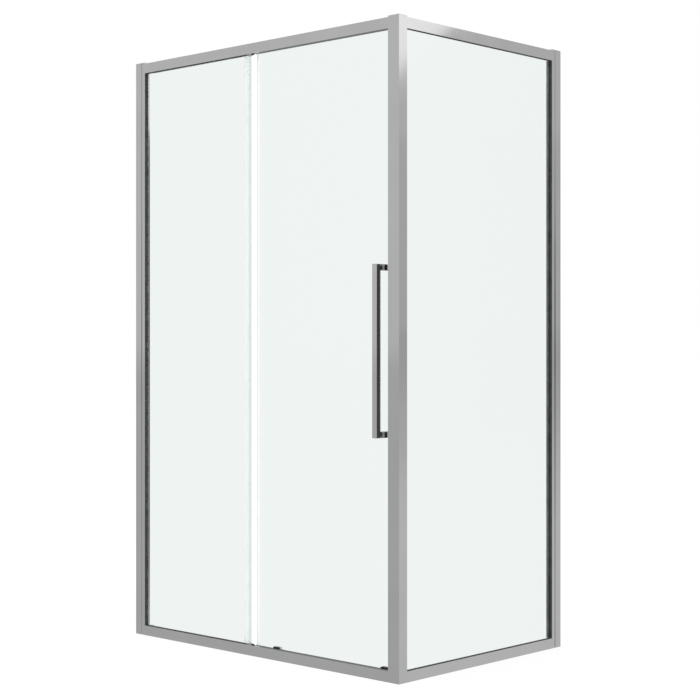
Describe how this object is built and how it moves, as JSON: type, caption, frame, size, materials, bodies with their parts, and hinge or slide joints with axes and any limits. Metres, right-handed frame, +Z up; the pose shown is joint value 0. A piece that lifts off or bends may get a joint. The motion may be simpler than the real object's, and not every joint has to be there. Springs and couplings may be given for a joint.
{
  "type": "shower enclosure with sliding door",
  "caption": "Corner shower enclosure with a framed glass front, a sliding glass door on rollers with a square D handle, and a framed glass side panel.",
  "frame": {"origin": "on the floor, at the centre of the footprint of the enclosure and its handle", "axes": "+Z up; +X along the front from the wall to the outer corner post, where the side panel stands; the front's outer face looks towards -Y"},
  "size_m": [1.2, 0.832, 1.95],
  "materials": {
    "polished_aluminium": "bright polished anodised silver",
    "silver_cap": "metallised silver plastic",
    "clear_glass": "clear tempered float glass",
    "glazing_gasket": "soft black glazing gasket",
    "black_rubber": "matte",
    "white_seal": "milky soft extrusion",
    "clear_seal": "translucent soft extrusion",
    "magnet_strip": "satin",
    "black_plastic": "moulded, slightly glossy",
    "grey_plastic": "moulded",
    "chrome": "polished",
    "steel": "zinc or stainless",
    "white_nylon": "machined nylon"
  },
  "bodies": {
    "frame": {"front_wall_profile": "polished_aluminium", "side_wall_profile": "polished_aluminium", "front_jamb": "polished_aluminium", "side_jamb": "polished_aluminium", "corner_post": "polished_aluminium", "front_header": "polished_aluminium", "front_sill": "polished_aluminium", "side_header": "polished_aluminium", "side_sill": "polished_aluminium", "front_wall_cap": "silver_cap", "side_wall_cap": "silver_cap", "corner_post_cap": "silver_cap", "jamb_screw_covers": "silver_cap", "pocket_infill_strips": "silver_cap", "fixed_glass": "clear_glass", "side_glass": "clear_glass", "fixed_glass_outer_gasket": "glazing_gasket", "fixed_glass_inner_gasket": "glazing_gasket", "side_glass_outer_gasket": "glazing_gasket", "side_glass_inner_gasket": "glazing_gasket", "glass_setting_blocks": "black_rubber", "door_bumpers": "black_rubber", "fixed_glass_edge_seal": "white_seal", "post_magnet_strip": "magnet_strip", "fixed_glass_top_clip": "black_plastic", "fixed_glass_bottom_clip": "black_plastic", "header_end_plug": "grey_plastic", "sill_end_plug": "grey_plastic", "front_frame_screws": "steel", "side_frame_screws": "steel", "jamb_lock_screws": "steel"},
    "door": {"door_glass": "clear_glass", "door_trailing_seal": "white_seal", "door_leading_seal": "clear_seal", "left_guide_clamp": "black_plastic", "right_guide_clamp": "black_plastic", "roller_sleeves": "grey_plastic", "handle_washers": "grey_plastic", "outer_handle": "chrome", "inner_handle": "chrome", "left_roller_bolt": "steel", "right_roller_bolt": "steel", "roller_washers": "steel", "roller_nuts": "steel", "roller_circlips": "steel", "roller_inner_rings": "steel", "guide_screws": "steel", "handle_studs": "steel", "handle_grub_screws": "steel", "left_guide_spring": "steel", "right_guide_spring": "steel", "left_guide_housing": "white_nylon", "right_guide_housing": "white_nylon"},
    "left_roller": {"left_roller_wheel": "white_nylon", "left_roller_bearing": "steel"},
    "right_roller": {"right_roller_wheel": "white_nylon", "right_roller_bearing": "steel"},
    "left_guide_plunger": {"left_guide_plunger": "black_plastic"},
    "right_guide_plunger": {"right_guide_plunger": "black_plastic"}
  },
  "joints": [
    {"name": "door_slide", "type": "slide", "parent": "frame", "child": "door", "axis": [-1, 0, 0], "range_m": [0, 0.4645]},
    {"name": "left_roller_spin", "type": "hinge", "parent": "door", "child": "left_roller", "pos_m": [0.064, -0.3476, 1.932], "axis": [0, -1, 0], "range_deg": [0, 2960]},
    {"name": "left_guide_release", "type": "slide", "parent": "door", "child": "left_guide_plunger", "axis": [0, 0, 1], "range_m": [0, 0.008], "stiffness_N_per_m": 300, "springref_m": -0.01, "deforming": ["left_guide_spring"]},
    {"name": "right_roller_spin", "type": "hinge", "parent": "door", "child": "right_roller", "pos_m": [0.52, -0.3476, 1.932], "axis": [0, -1, 0], "range_deg": [0, 2960]},
    {"name": "right_guide_release", "type": "slide", "parent": "door", "child": "right_guide_plunger", "axis": [0, 0, 1], "range_m": [0, 0.008], "stiffness_N_per_m": 300, "springref_m": -0.01, "deforming": ["right_guide_spring"]}
  ],
  "couplings": [
    {"joint": "left_roller_spin", "follows": "door_slide", "rad_per_m": 111.11},
    {"joint": "right_roller_spin", "follows": "door_slide", "rad_per_m": 111.11}
  ]
}
